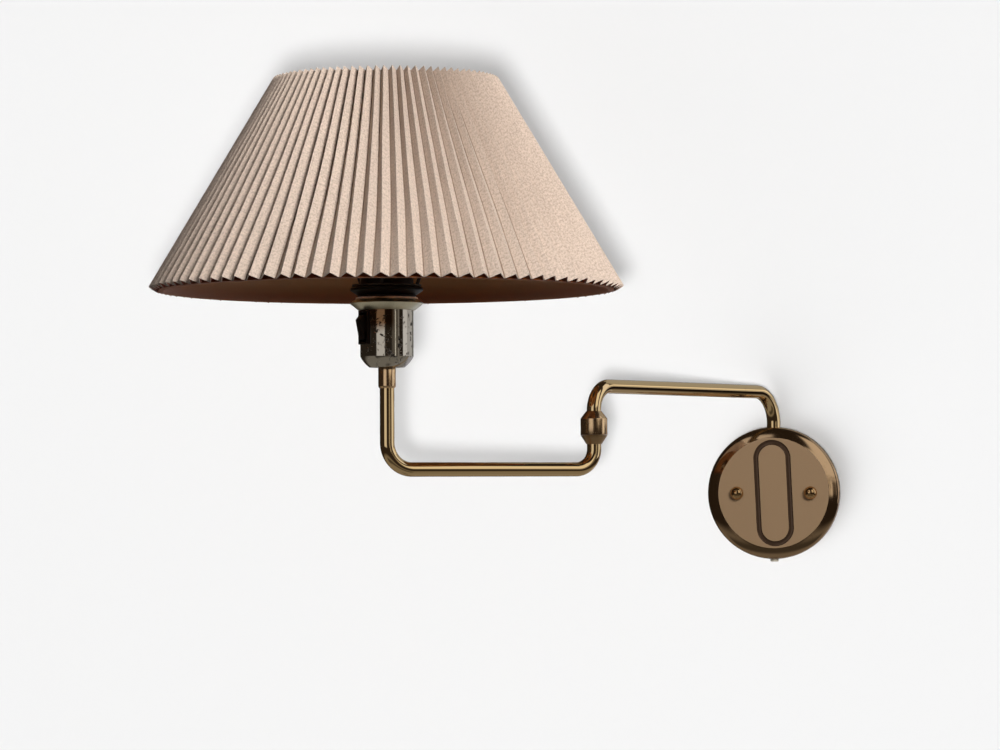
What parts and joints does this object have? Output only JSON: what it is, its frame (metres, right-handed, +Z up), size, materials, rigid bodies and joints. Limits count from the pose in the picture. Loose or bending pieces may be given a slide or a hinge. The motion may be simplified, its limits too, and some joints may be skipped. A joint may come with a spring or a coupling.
{
  "type": "articulating wall light",
  "caption": "Swing-arm wall light with a round dished wall plate, bent tube arms on two upright pivots, a switched lampholder and a pleated conical shade.",
  "frame": {"origin": "centre of the wall plate's back, in the wall's plane", "axes": "+Y points into the wall, +Z up, so the lamp hangs out towards -Y; posed as pictured"},
  "size_m": [0.56, 0.5367, 0.4052],
  "materials": {
    "polished_brass": "polished, slightly aged",
    "satin_brass": "satin face, polished rim",
    "dull_brass": "turned, dull",
    "cap_brass": "polished",
    "contact_brass": "bright pressed",
    "zinc_steel": "zinc plated",
    "nickel": "aged nickel, finely pitted",
    "green_nickel": "aged nickel with a grey-green cast",
    "black_phenolic": "moulded, low gloss",
    "brown_phenolic": "moulded, low gloss",
    "nylon": "natural nylon",
    "pale_rubber": "soft, pale",
    "cable_sheath": "cable sheath",
    "fibre": "pressed fibre",
    "ceramic": "unglazed",
    "steel_wire": "painted wire",
    "shade_liner": "smooth laminated card, brown",
    "shade_fabric": "fine linen weave, pleated"
  },
  "bodies": {
    "wall_mount": {"back_plate": "zinc_steel", "wall_plate": "satin_brass", "plate_studs": "zinc_steel", "cap_nuts": "cap_brass", "pivot_housing": "dull_brass", "housing_screws": "zinc_steel", "pivot_washer": "nylon", "terminal_block": "nylon", "terminal_screws": "zinc_steel", "earth_screw": "zinc_steel", "cord_clamp": "nylon", "clamp_screws": "zinc_steel", "cord_grommet": "pale_rubber", "inlet_wiring": "cable_sheath"},
    "upper_arm": {"upper_tube": "polished_brass", "thrust_collar": "dull_brass", "pivot_spring_washer": "zinc_steel", "pivot_nut": "dull_brass", "elbow_cup": "polished_brass", "elbow_bush": "dull_brass", "upper_wiring": "cable_sheath"},
    "lower_arm": {"elbow_spindle": "dull_brass", "elbow_spring_washer": "zinc_steel", "elbow_nut": "dull_brass", "lower_tube": "polished_brass", "lower_wiring": "cable_sheath", "stem_sleeve": "polished_brass", "holder_shell": "nickel", "holder_nut": "dull_brass", "holder_leads": "cable_sheath", "flare_cup": "green_nickel", "holder_gasket": "fibre", "threaded_skirt": "black_phenolic", "contact_insert": "ceramic", "screw_shell": "contact_brass", "centre_contact": "contact_brass", "lower_shade_ring": "black_phenolic", "upper_shade_ring": "black_phenolic", "switch_frame": "brown_phenolic", "switch_box": "brown_phenolic", "rocker_pin": "zinc_steel"},
    "rocker": {"switch_rocker": "brown_phenolic"},
    "shade": {"fitter_ring": "steel_wire", "shade_arms": "steel_wire", "shade_top_ring": "steel_wire", "shade_bottom_ring": "steel_wire", "shade_liner": "shade_liner", "shade_cover": "shade_fabric"}
  },
  "joints": [
    {"name": "wall_pivot", "type": "hinge", "parent": "wall_mount", "child": "upper_arm", "pos_m": [0, -0.013, 0.0435], "axis": [0, 0, 1], "range_deg": [-58, 122]},
    {"name": "elbow_pivot", "type": "hinge", "parent": "upper_arm", "child": "lower_arm", "pos_m": [-0.14308, -0.24197, 0.05175], "axis": [0, 0, 1], "range_deg": [-138.5, 191.5]},
    {"name": "switch_tilt", "type": "hinge", "parent": "lower_arm", "child": "rocker", "pos_m": [-0.31856, -0.35256, 0.1371], "axis": [0.6428, -0.766, 0], "range_deg": [-14, 0]},
    {"name": "shade_turn", "type": "hinge", "parent": "lower_arm", "child": "shade", "pos_m": [-0.30508, -0.34125, 0.171], "axis": [0, 0, 1], "continuous": true}
  ]
}
